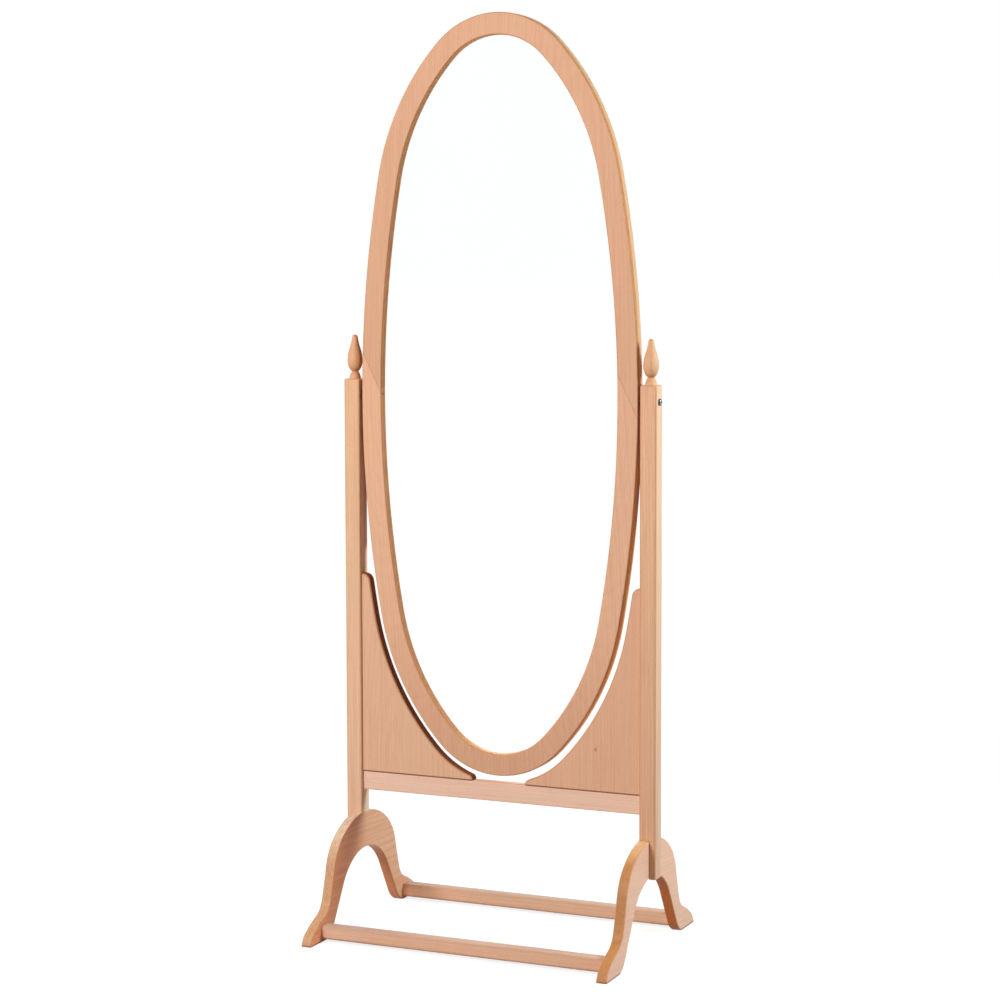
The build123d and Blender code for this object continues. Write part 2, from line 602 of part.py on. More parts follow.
# Stepped clips round the back: one flange on the frame, the other on the backing board
with BuildPart() as backing_clips:
    for angle, side_x, side_z in clip_spots:
        wall_x, wall_z = oval_point(angle, WALL_INSET, side_x, side_z)
        out_x, out_z = side_x * cos(radians(angle)), side_z * sin(radians(angle))
        section = Plane(
            origin=(wall_x, FRAME_BACK, PIVOT_Z + wall_z),
            x_dir=(out_x, 0, out_z),
            z_dir=(out_z, 0, -out_x),
        )
        rise = section.to_local_coords(Vector(wall_x, FRAME_BACK + 1, PIVOT_Z + wall_z)).Y
        step = rise * (BACKING_BACK - FRAME_BACK)
        with BuildSketch(section):
            with BuildLine():
                Polyline(
                    (CLIP_FOOT, 0),
                    (-CLIP_GAP, 0),
                    (-CLIP_GAP, step),
                    (-CLIP_GAP - CLIP_METAL - CLIP_TOE, step),
                    (-CLIP_GAP - CLIP_METAL - CLIP_TOE, step + rise * CLIP_METAL),
                    (-CLIP_GAP - CLIP_METAL, step + rise * CLIP_METAL),
                    (-CLIP_GAP - CLIP_METAL, rise * CLIP_METAL),
                    (CLIP_FOOT, rise * CLIP_METAL),
                    close=True,
                )
            make_face()
        extrude(amount=CLIP_WIDTH / 2, both=True)
    with BuildSketch(upright(FRAME_BACK)):
        with Locations(*clip_screw_spots):
            Circle(CLIP_SCREW_R + GLUE_GAP)
    extrude(amount=-2 * CLIP_METAL, mode=Mode.SUBTRACT)
backing_clips.part.label = "backing_clips"
export_step(backing_clips.part, "parts/backing_clips.step")

# Small round-head screws that hold the clips
with BuildPart() as clip_screws:
    with BuildSketch(upright(FRAME_BACK + CLIP_METAL)):
        with Locations(*clip_screw_spots):
            Circle(CLIP_SCREW_R)
    extrude(amount=CLIP_METAL + CLIP_SCREW_LENGTH)
    with BuildSketch(upright(FRAME_BACK + CLIP_METAL)):
        with Locations(*clip_screw_spots):
            Circle(CLIP_HEAD_R)
    extrude(amount=-CLIP_HEAD_H)
    head_rims = clip_screws.edges().group_by(Axis.Y)[-1]
    chamfer(head_rims, CLIP_HEAD_H / 2)
clip_screws.part.label = "clip_screws"
export_step(clip_screws.part, "parts/clip_screws.step")

# Right pivot bolt: domed cross-head bolt through the post into the frame
with BuildPart() as right_pivot_bolt:
    with BuildSketch(Plane.YZ.offset(OVAL_HALF_W - BOLT_GRIP)):
        with Locations((0, PIVOT_Z)):
            Circle(PIVOT_R)
    extrude(amount=POST_OUTER + PIVOT_END_PLAY - OVAL_HALF_W + BOLT_GRIP)
    with BuildSketch(Plane.YZ.offset(POST_OUTER + PIVOT_END_PLAY)):
        with Locations((0, PIVOT_Z)):
            Circle(BOLT_HEAD_R)
    extrude(amount=BOLT_HEAD_H)
    fillet(right_pivot_bolt.edges().group_by(Axis.X)[-1], BOLT_DOME)
    with BuildSketch(Plane.YZ.offset(POST_OUTER + PIVOT_END_PLAY + BOLT_HEAD_H)):
        with Locations((0, PIVOT_Z)):
            Rectangle(BOLT_HEAD_R, BOLT_SLOT)
            Rectangle(BOLT_SLOT, BOLT_HEAD_R)
    extrude(amount=-BOLT_SLOT_DEPTH, mode=Mode.SUBTRACT)
right_pivot_bolt.part.label = "right_pivot_bolt"
export_step(right_pivot_bolt.part, "parts/right_pivot_bolt.step")

with BuildPart() as left_pivot_bolt:
    mirror(right_pivot_bolt.part, about=Plane.YZ)
left_pivot_bolt.part.label = "left_pivot_bolt"
export_step(left_pivot_bolt.part, "parts/left_pivot_bolt.step")

# Spacer washers that rub on the posts and hold the tilt
with BuildPart() as spacer_washers:
    with BuildSketch(Plane.YZ.offset(OVAL_HALF_W)):
        with Locations((0, PIVOT_Z)):
            Circle(WASHER_R)
            Circle(PIVOT_R + GLUE_GAP, mode=Mode.SUBTRACT)
    extrude(amount=SIDE_GAP - PIVOT_END_PLAY)
    mirror(about=Plane.YZ)
spacer_washers.part.label = "spacer_washers"
export_step(spacer_washers.part, "parts/spacer_washers.step")

# Threaded inserts sunk in the edge of the frame
with BuildPart() as pivot_inserts:
    with BuildSketch(Plane.YZ.offset(OVAL_HALF_W - INSERT_LENGTH)):
        with Locations((0, PIVOT_Z)):
            Circle(INSERT_R)
            Circle(PIVOT_R + GLUE_GAP, mode=Mode.SUBTRACT)
    extrude(amount=INSERT_LENGTH)
    mirror(about=Plane.YZ)
pivot_inserts.part.label = "pivot_inserts"
export_step(pivot_inserts.part, "parts/pivot_inserts.step")
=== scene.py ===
"""Looks of the cheval floor mirror: beech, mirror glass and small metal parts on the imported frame."""
import json
import math
from collections import namedtuple

import bpy
from mathutils import Matrix, Vector


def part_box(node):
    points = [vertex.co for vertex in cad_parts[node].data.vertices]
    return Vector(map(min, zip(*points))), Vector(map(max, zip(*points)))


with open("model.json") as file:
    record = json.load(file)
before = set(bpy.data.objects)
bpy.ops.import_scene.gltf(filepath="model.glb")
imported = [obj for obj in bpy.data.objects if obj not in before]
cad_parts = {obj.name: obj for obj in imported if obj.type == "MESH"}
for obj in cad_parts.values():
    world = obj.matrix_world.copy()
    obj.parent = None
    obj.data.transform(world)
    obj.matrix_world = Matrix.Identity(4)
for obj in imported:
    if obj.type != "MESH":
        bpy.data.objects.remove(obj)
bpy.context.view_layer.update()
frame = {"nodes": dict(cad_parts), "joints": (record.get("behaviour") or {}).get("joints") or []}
nodes = frame["nodes"]
scene = bpy.context.scene

UP = (0, 0, 1)
DOWN = (0, 0, -1)
ACROSS = (1, 0, 0)
DEEP = (0, 1, 0)
WHITE = (1.0, 1.0, 1.0, 1.0)
BLACK = (0.0, 0.0, 0.0, 1.0)

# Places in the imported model, in metres
post_low, post_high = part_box("right_post")
POST_FACE = post_low.x
POST_HALF = (post_high.x - post_low.x) / 2
POST_X = POST_FACE + POST_HALF
POST_TOP = post_high.z
RAIL_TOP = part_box("cross_rail")[1].z
OVAL_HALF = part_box("frame_upper")[1].x
PIVOT_Z = frame["joints"][0]["pos_m"][2]

# Painted light and shade on the oval's outer edge: where its two tints meet in depth, and how far out
# and how high the painted shade of the posts reaches
TINTS_MEET = (-0.0065, -0.0015)
SHADED_BEHIND = (OVAL_HALF - 0.015, OVAL_HALF - 0.004)
SHADED_IN_FRONT = (OVAL_HALF - 0.004, OVAL_HALF - 0.001)
SHADE_TOP = (POST_TOP + 0.004, POST_TOP - 0.004)

# How far from a post's middle its darker corners, painted shade, begin and are full
POST_CORNER = (POST_HALF - 0.0042, POST_HALF - 0.0004)

# A bolt head's rim with a painted dark reflection and shade, as radii,
# and its cross recess in painted shade, as half widths
BOLT_RIM = (0.0036, 0.0054)
BOLT_RECESS = (0.0011, 0.0006)

# Marks on a piece of beech: places in metres, tints as factors of red, green and blue
# painted light and shade on the faces that look one way:
Facing = namedtuple("Facing", "direction tint")  # faces that look one way
Drift = namedtuple("Drift", "direction start end tint")  # slow change of colour along a direction
Crown = namedtuple("Crown", "start end tint")  # heights between which the sawn edges take a tint
# painted light and shade on the oval's outer edge:
PaintedEdgeLight = namedtuple("PaintedEdgeLight", "front_tint back_tint")  # front and back of an oval's outer edge
Arches = namedtuple("Arches", "x z squash strength")  # middle, flattening and strength of arched rings
Knot = namedtuple("Knot", "x z radius")  # small knot that goes through the board
Seam = namedtuple("Seam", "normal place half_width strength reach")  # dark line in a plane, round a place

# Tints of a piece's beech colour: its own marks, and painted shade on edges, in gaps and beside the posts
DARK_GRAIN = (0.82, 0.71, 0.62)
RAY_FLECK = (0.60, 0.48, 0.40)
CUT_END = (0.88, 0.78, 0.62)
CUT_FIBRE = (0.80, 0.72, 0.64)
EDGE_WEAR_AND_SHADE = (0.76, 0.60, 0.40)
# Glue and dust in the oval's joints, and painted shade in gaps and corners
SEAM_DIRT_AND_SHADE = (0.34, 0.20, 0.12)
KNOT_BROWN = (0.50, 0.36, 0.28)
# Painted shade on the oval's outer edge where it passes the posts
POST_SHADE_PAINTED = (0.56, 0.46, 0.36)

# Growth rings: how close they are and where they centre. Each seed moves them and the grain by a step
RINGS_PER_METRE = 190.0
RING_HEART = (0.12, 0.05, 0.0)
RING_STEP = (0.37, 0.21, 0.032)
GRAIN_STEP = (0.37, 0.21, 0.53)


class Nodes:
    """Short way to write the node tree of a material or of the world."""

    def __init__(self, owner, output="OutputMaterial"):
        self.owner = owner
        owner.use_nodes = True
        self.tree = owner.node_tree
        self.tree.nodes.clear()
        self.surface = self.add(output).inputs["Surface"]

    def add(self, kind, **values):
        node = self.tree.nodes.new("ShaderNode" + kind)
        for key, value in values.items():
            setattr(node, key, value)
        return node

    def link(self, source, target):
        self.tree.links.new(source, target)

    def put(self, socket, value):
        """Sets a socket to a number or colour, or links another socket to it."""
        if isinstance(value, bpy.types.NodeSocket):
            self.link(value, socket)
        else:
            socket.default_value = value

    def math(self, operation, a, b=0.0, c=0.0, clamp=False):
        node = self.add("Math", operation=operation, use_clamp=clamp)
        for socket, value in zip(node.inputs, (a, b, c)):
            self.put(socket, value)
        return node.outputs[0]

    def multiply(self, a, b):
        return self.math("MULTIPLY", a, b)

    def larger(self, a, b):
        return self.math("MAXIMUM", a, b)

    def vector(self, operation, a, b=(0.0, 0.0, 0.0), out="Vector"):
        node = self.add("VectorMath", operation=operation)
        self.put(node.inputs[0], a)
        self.put(node.inputs[1], b)
        return node.outputs[out]

    def stretch(self, a, factors):
        return self.vector("MULTIPLY", a, factors)

    def dot(self, a, b):
        return self.vector("DOT_PRODUCT", a, b, out="Value")

    def length(self, a):
        return self.vector("LENGTH", a, out="Value")

    def mix(self, factor, a, b, blend="MIX"):
        node = self.add("Mix", data_type="RGBA", blend_type=blend)
        self.put(node.inputs["Factor"], factor)
        self.put(node.inputs[6], a)
        self.put(node.inputs[7], b)
        return node.outputs[2]

    def tint(self, factor, colour, tint):
        """Colour multiplied by a tint, as far as the factor says."""
        return self.mix(factor, colour, (*tint, 1.0), "MULTIPLY")

    def ramp(self, value, low, high):
        """Smooth step of a value from 0 at low to 1 at high."""
        node = self.add("MapRange", interpolation_type="SMOOTHSTEP")
        self.put(node.inputs["Value"], value)
        node.inputs["From Min"].default_value = low
        node.inputs["From Max"].default_value = high
        return node.outputs["Result"]

    def noise(self, vector, scale=1.0, detail=2.0, roughness=0.5, distortion=0.0, out="Fac"):
        node = self.add("TexNoise")
        self.put(node.inputs["Vector"], vector)
        node.inputs["Scale"].default_value = scale
        node.inputs["Detail"].default_value = detail
        node.inputs["Roughness"].default_value = roughness
        node.inputs["Distortion"].default_value = distortion
        return node.outputs[out]

    def shade(self, colour, roughness, metallic=0.0, gloss=0.5, relief=None, strength=0.0, depth=0.0):
        """Ends a material in one shader, with a bump of some strength and depth where it has relief."""
        shader = self.add("BsdfPrincipled")
        self.put(shader.inputs["Base Color"], colour)
        self.put(shader.inputs["Roughness"], roughness)
        shader.inputs["Metallic"].default_value = metallic
        shader.inputs["Specular IOR Level"].default_value = gloss
        if relief is not None:
            bump = self.add("Bump")
            bump.inputs["Strength"].default_value = strength
            bump.inputs["Distance"].default_value = depth
            self.link(relief, bump.inputs["Height"])
            self.link(bump.outputs["Normal"], shader.inputs["Normal"])
        self.link(shader.outputs[0], self.surface)
        return self.owner


def linear(*rgb):
    """Colour for a shader from 0-255 display values."""
    def channel(value):
        value /= 255
        return value / 12.92 if value <= 0.04045 else ((value + 0.055) / 1.055) ** 2.4
    return (*[channel(value) for value in rgb], 1.0)


def scaled(colour, factors):
    """Colour with each channel multiplied, kept opaque."""
    return tuple(min(1.0, a * b) for a, b in zip(colour[:3], factors)) + (1.0,)


def late_wood(n, radius, uneven):
    """Thin dark line at the end of each year's growth."""
    ring = n.math("FRACT", n.math("ADD", n.multiply(radius, RINGS_PER_METRE), uneven))
    return n.multiply(n.ramp(ring, 0.40, 0.92), n.ramp(ring, 1.0, 0.94))


class Grain:
    """Patterns of beech along one direction of its fibres, from growth rings down to pores."""

    def __init__(self, n, spot, along, seed):
        self.n = n
        mapping = n.add("Mapping", vector_type="POINT")
        mapping.inputs["Rotation"].default_value = along.rotation_difference(Vector(UP)).to_euler()
        mapping.inputs["Location"].default_value = [step * seed for step in GRAIN_STEP]
        n.link(spot, mapping.inputs["Vector"])
        self.place = mapping.outputs["Vector"]

        # Slow wander of the fibres, so that no line is ruler straight
        wander = n.noise(n.stretch(self.place, (9.0, 9.0, 2.6)), out="Color")
        self.sway = n.vector("SUBTRACT", wander, (0.5, 0.5, 0.5))
        self.bent = n.vector("ADD", self.place, n.stretch(self.sway, (0.014, 0.014, 0.0)))

        centre = [middle + step * seed for middle, step in zip(RING_HEART, RING_STEP)]
        flat = n.stretch(self.bent, (1.0, 1.0, 0.06))
        radius = n.length(n.vector("SUBTRACT", flat, centre))
        self.uneven = n.noise(n.stretch(self.place, (30.0, 30.0, 1.5)), detail=1.0)
        self.late = late_wood(n, radius, self.uneven)

        self.broad = self.fibres(38.0, 1.4, detail=3.0, roughness=0.55)
        self.blush = self.fibres(95.0, 2.2)
        self.band = self.fibres(210.0, 3.2, roughness=0.55)
        self.streak = self.fibres(420.0, 8.0, detail=3.0, roughness=0.6)
        self.pore = self.fibres(1500.0, 42.0, detail=1.0)
        self.fleck = self.fibres(900.0, 240.0, detail=0.0, distortion=1.0)
        self.dots = n.noise(n.stretch(self.place, (520.0, 520.0, 520.0)))

    def fibres(self, across, along, **settings):
        """Noise drawn out along the fibres, at a scale per metre across them and one along them."""
        return self.n.noise(self.n.stretch(self.bent, (across, across, along)), **settings)


def grain_colour(n, wood, base, figure):
    """Colour of the bare wood, with its grain as strong as figure says."""
    dark = scaled(base, DARK_GRAIN)
    paler = scaled(base, (1.04, 1.06, 1.07))
    pinker = scaled(base, (1.015, 0.955, 0.97))
    yellower = scaled(base, (0.985, 1.02, 0.955))
    colour = n.mix(n.ramp(wood.broad, 0.30, 0.72), paler, base)
    colour = n.mix(0.5, colour, n.mix(n.ramp(wood.blush, 0.35, 0.65), pinker, yellower))
    patterns = [
        (n.ramp(wood.band, 0.45, 0.78), 0.30 * figure),
        (n.ramp(wood.streak, 0.44, 0.76), 0.32 * figure),
        (wood.late, 0.20 * figure),
        (n.ramp(wood.pore, 0.50, 0.72), 0.20),
    ]
    for pattern, strength in patterns:
        colour = n.mix(n.multiply(pattern, strength), colour, dark)
    flecks = n.ramp(wood.fleck, 0.64, 0.78)
    return n.mix(n.multiply(flecks, 0.22), colour, scaled(base, RAY_FLECK))


def arched_grain(n, spot, wood, colour, base, arches):
    """Arched rings of a flat-sawn board, alike to the left and right of the mirror's middle."""
    swayed = n.vector("ADD", spot, n.stretch(wood.sway, (0.02, 0.0, 0.05)))
    shift = n.vector("SUBTRACT", n.vector("ABSOLUTE", swayed), (arches.x, 0.0, arches.z))
    radius = n.length(n.stretch(shift, (0.6, 0.0, 0.6 * arches.squash)))
    rings = n.multiply(late_wood(n, radius, wood.uneven), arches.strength)
    return n.mix(rings, colour, scaled(base, DARK_GRAIN))


def cut_ends(n, normal, along, wood, colour, base):
    """Cut ends of the fibres, which take up more finish and look browner."""
    end_on = n.dot(normal, tuple(along))
    cut = n.ramp(n.multiply(end_on, end_on), 0.12, 0.85)
    brown = scaled(base, CUT_END)
    return n.mix(cut, colour, n.mix(n.multiply(wood.dots, 0.35), brown, scaled(brown, CUT_FIBRE)))


def sawn_edges(n, wood, colour, sawn, rim):
    """A board's narrow edges in a tint, a little mottled: their own colour, on some pieces with painted
    shade.
    """
    patch = n.noise(n.stretch(wood.place, (150.0, 150.0, 30.0)))
    blotch = n.ramp(n.math("MULTIPLY_ADD", wood.dots, 0.3, n.multiply(patch, 0.7)), 0.34, 0.66)
    mottle = n.mix(blotch, (1.05, 1.05, 1.06, 1.0), (0.93, 0.92, 0.88, 1.0))
    return n.mix(sawn, colour, n.tint(1.0, mottle, rim), "MULTIPLY")


def painted_outer_edge(n, spot, normal, colour, sawn, outer):
    """Painted light and shade on the oval's outer edge: one tint in front, one behind, shade by the posts.
    """
    outward = n.dot(normal, n.vector("SUBTRACT", spot, (0, 0, PIVOT_Z)))
    behind = n.ramp(n.dot(spot, DEEP), *TINTS_MEET)
    tints = n.mix(behind, (*outer.front_tint, 1.0), (*outer.back_tint, 1.0))
    aside = n.dot(n.vector("ABSOLUTE", spot), ACROSS)
    painted_post_shade = n.multiply(n.ramp(aside, *SHADED_BEHIND), behind)
    painted_post_shade = n.larger(painted_post_shade, n.ramp(aside, *SHADED_IN_FRONT))
    below_top = n.ramp(n.dot(spot, UP), *SHADE_TOP)
    tints = n.mix(n.multiply(painted_post_shade, below_top), tints, (*POST_SHADE_PAINTED, 1.0))
    return n.mix(n.multiply(sawn, n.ramp(outward, 0.0, 0.05)), colour, tints, "MULTIPLY")


def edge_wear_and_shade(n, spot, wood, flatness, colour, base, arris, post_x):
    """Rounded edges darker: a little lacquer and dust, and painted shade where they turn from the lamps."""
    edge = n.multiply(n.multiply(flatness, 4.0), n.math("SUBTRACT", 1.0, flatness))
    wear_and_shade = n.math("MULTIPLY", edge, n.math("MULTIPLY_ADD", wood.broad, 0.5, arris), clamp=True)
    if post_x is not None:
        parts = n.add("SeparateXYZ")
        n.link(n.vector("ABSOLUTE", n.vector("SUBTRACT", spot, (post_x, 0, 0))), parts.inputs[0])
        nearer = n.math("MINIMUM", parts.outputs["X"], parts.outputs["Y"])
        corner = n.ramp(nearer, *POST_CORNER)
        wear_and_shade = n.larger(wear_and_shade, n.multiply(corner, 0.80))
    return n.mix(wear_and_shade, colour, scaled(base, EDGE_WEAR_AND_SHADE))


def seam_line(n, spot, colour, base, seam):
    """Dark line in a plane: glue and dust in the oval's joints, painted shade in gaps, corners and at the
    floor.
    """
    off = n.vector("SUBTRACT", spot, seam.place)
    away = n.math("ABSOLUTE", n.dot(off, seam.normal))
    line = n.multiply(n.ramp(away, seam.half_width, 0.25 * seam.half_width), seam.strength)
    line = n.multiply(line, n.ramp(n.length(off), seam.reach, 0.9 * seam.reach))
    return n.mix(line, colour, scaled(base, SEAM_DIRT_AND_SHADE))


def pin_knot(n, spot, colour, base, knot):
    """Small knot, a little longer up and down than across."""
    off = n.stretch(n.vector("SUBTRACT", spot, (knot.x, 0, knot.z)), (1.0, 0.0, 0.7))
    near = n.ramp(n.length(off), knot.radius, 0.3 * knot.radius)
    return n.mix(n.multiply(near, 0.7), colour, scaled(base, KNOT_BROWN))


def beech(
    name, grain, tone, seed, flat_side=DEEP, figure=1.0, arris=0.25, gloss=0.20, rim=None, crown=None,
    outer=None, facing=None, drift=None, arches=None, knot=None, post_x=None, seams=(),
):
    """Satin beech with its grain along one direction.

    flat_side is the normal of the broad faces, figure the strength of the grain and arris the darkness of
    rounded edges, wear and painted shade. rim tints a board's narrow edges, on some pieces with painted
    shade, and crown tints them again towards the top, painted light. outer paints light and shade on an
    oval's outer edge, facing paints light and shade on the faces that look one way, and drift changes the
    colour slowly along a direction. post_x is the middle of a square post with edges darkened by painted
    shade.
    """
    n = Nodes(bpy.data.materials.new(name))
    coords = n.add("TexCoord")
    spot = coords.outputs["Object"]
    normal = coords.outputs["Normal"]
    along = Vector(grain).normalized()
    base = linear(*tone)
    wood = Grain(n, spot, along, seed)
    flatness = n.dot(normal, flat_side)
    flatness = n.multiply(flatness, flatness)
    sawn = n.ramp(flatness, 0.80, 0.30)

    colour = grain_colour(n, wood, base, figure)
    if arches:
        colour = arched_grain(n, spot, wood, colour, base, arches)
    if drift:
        far = n.ramp(n.dot(spot, drift.direction), drift.start, drift.end)
        if rim:
            far = n.multiply(far, n.math("SUBTRACT", 1.0, sawn))
        colour = n.tint(far, colour, drift.tint)
    if rim:
        colour = sawn_edges(n, wood, colour, sawn, rim)
    else:
        colour = cut_ends(n, normal, along, wood, colour, base)
    # Painted light: the sawn edges paler towards the top
    if crown:
        raised = n.ramp(n.dot(spot, UP), crown.start, crown.end)
        colour = n.tint(n.multiply(raised, sawn), colour, crown.tint)
    if outer:
        colour = painted_outer_edge(n, spot, normal, colour, sawn, outer)
    # Painted light and shade on the faces that look one way
    if facing:
        toward = n.ramp(n.dot(normal, facing.direction), 0.0, 0.35)
        colour = n.tint(toward, colour, facing.tint)
    colour = edge_wear_and_shade(n, spot, wood, flatness, colour, base, arris, post_x)
    for seam in seams:
        colour = seam_line(n, spot, colour, base, seam)
    if knot:
        colour = pin_knot(n, spot, colour, base, knot)

    roughness = n.math("MULTIPLY_ADD", wood.streak, 0.14, 0.40)
    relief = n.math("ADD", n.multiply(wood.streak, 0.5), n.multiply(wood.pore, 0.5))
    return n.shade(colour, roughness, gloss=gloss, relief=relief, strength=0.14, depth=0.0004)


def metal(name, colour, roughness, brush=0.10):
    """Plated or bare metal with fine tool marks and a little unevenness."""
    n = Nodes(bpy.data.materials.new(name))
    spot = n.add("TexCoord").outputs["Object"]
    marks = n.noise(n.stretch(spot, (900.0, 2600.0, 900.0)))
    cloud = n.noise(spot, scale=140.0, detail=3.0)
    base = linear(*colour)
    uneven = n.mix(n.ramp(cloud, 0.35, 0.75), base, scaled(base, (0.72, 0.72, 0.72)))
    brushed = n.math("MULTIPLY_ADD", marks, brush, roughness - brush / 2)
    return n.shade(uneven, brushed, metallic=1.0, relief=marks, strength=0.08, depth=0.0001)


def bolt_metal(name, colour, reflection_and_shade):
    """Bright plated bolt head, with painted dark reflection on its rim and shade in its recess, round the
    pivot.
    """
    n = Nodes(bpy.data.materials.new(name))
    spot = n.add("TexCoord").outputs["Object"]
    marks = n.noise(n.stretch(spot, (900.0, 2600.0, 2600.0)))
    off = n.stretch(n.vector("SUBTRACT", spot, (0, 0, PIVOT_Z)), (0.0, 1.0, 1.0))
    rim = n.ramp(n.length(off), *BOLT_RIM)
    parts = n.add("SeparateXYZ")
    n.link(n.vector("ABSOLUTE", off), parts.inputs[0])
    recess = n.ramp(n.math("MINIMUM", parts.outputs["Y"], parts.outputs["Z"]), *BOLT_RECESS)
    painted_dark = n.multiply(n.larger(rim, recess), 0.9)
    plating = n.mix(painted_dark, linear(*colour), linear(*reflection_and_shade))
    roughness = n.math("MULTIPLY_ADD", marks, 0.1, 0.18)
    return n.shade(plating, roughness, metallic=1.0, relief=marks, strength=0.08, depth=0.0001)


def plastic(name, colour):
    """Matt moulded plastic with a fine grain."""
    n = Nodes(bpy.data.materials.new(name))
    spot = n.add("TexCoord").outputs["Object"]
    pebble = n.noise(spot, scale=1800.0)
    cloud = n.noise(spot, scale=120.0)
    base = linear(*colour)
    uneven = n.mix(cloud, base, scaled(base, (0.7, 0.7, 0.7)))
    roughness = n.math("MULTIPLY_ADD", pebble, 0.2, 0.5)
    return n.shade(uneven, roughness, gloss=0.3, relief=pebble, strength=0.1, depth=0.0001)


def silvered_glass(name):
    """Mirror: silver behind clear glass, with the faintest haze of wiping marks."""
    n = Nodes(bpy.data.materials.new(name))
    spot = n.add("TexCoord").outputs["Object"]
    wipe = n.noise(n.stretch(spot, (3.0, 3.0, 14.0)), detail=4.0, distortion=1.2)
    haze = n.multiply(n.ramp(wipe, 0.50, 0.80), 0.012)
    cloud = n.noise(spot, scale=5.0)
    silver = n.mix(cloud, linear(253, 254, 254), linear(254, 255, 255))
    return n.shade(silver, haze, metallic=1.0)


def hardboard(name):
    """Brown pressed-fibre board with a fine matted face."""
    n = Nodes(bpy.data.materials.new(name))
    spot = n.add("TexCoord").outputs["Object"]
    fibre = n.noise(spot, scale=420.0, detail=4.0, roughness=0.65, distortion=1.5)
    cloud = n.noise(spot, scale=9.0, detail=3.0)
    colour = n.mix(n.ramp(fibre, 0.35, 0.70), linear(150, 106, 70), linear(108, 72, 46))
    colour = n.mix(n.multiply(cloud, 0.35), colour, linear(166, 122, 84))
    roughness = n.math("MULTIPLY_ADD", fibre, 0.2, 0.55)
    return n.shade(colour, roughness, relief=fibre, strength=0.25, depth=0.0004)


def dress(material, *names):
    """Gives CAD nodes one material."""
    for name in names:
        mesh = nodes[name].data
        mesh.materials.clear()
        mesh.materials.append(material)


# Glue joints of the oval: they lean, and cross each limb at their own height above the pivot
GLUE_LEAN = math.radians(64.0)
LIMB_X = OVAL_HALF - 0.019
LEFT_JOINT_Z = PIVOT_Z + 0.042
RIGHT_JOINT_Z = PIVOT_Z + 0.009
across_glue = (math.sin(GLUE_LEAN), 0, math.cos(GLUE_LEAN))
glue_joints = [
    Seam(across_glue, place, half_width=0.0009, strength=0.40, reach=0.10)
    for place in [(-LIMB_X, 0, LEFT_JOINT_Z), (LIMB_X, 0, RIGHT_JOINT_Z)]
]

# Lines of painted shade: round the panels, in the left post's inner rear corner and at the floor
rail_shade_line = Seam(UP, (0, 0, RAIL_TOP), half_width=0.0026, strength=0.90, reach=1.0)
left_post_shade_line = Seam(ACROSS, (-POST_FACE, 0, 0), half_width=0.0014, strength=0.85, reach=1.0)
right_post_shade_line = Seam(ACROSS, (POST_FACE, 0, 0), half_width=0.0014, strength=0.85, reach=1.0)
inner_corner_shade = Seam(
    (0.94, 0.34, 0), (-POST_FACE, POST_HALF, 0.88), half_width=0.0062, strength=1.0, reach=0.22
)
floor_shade_line = Seam(UP, (0, 0, 0), half_width=0.004, strength=0.8, reach=2.0)

# Painted shade: the stretchers' top faces darker and cooler
stretcher_top_shade = Facing(UP, tint=(0.75, 0.84, 0.92))
OVAL_RIM = (0.96, 0.83, 0.59)
LOW_GLOSS = 0.05

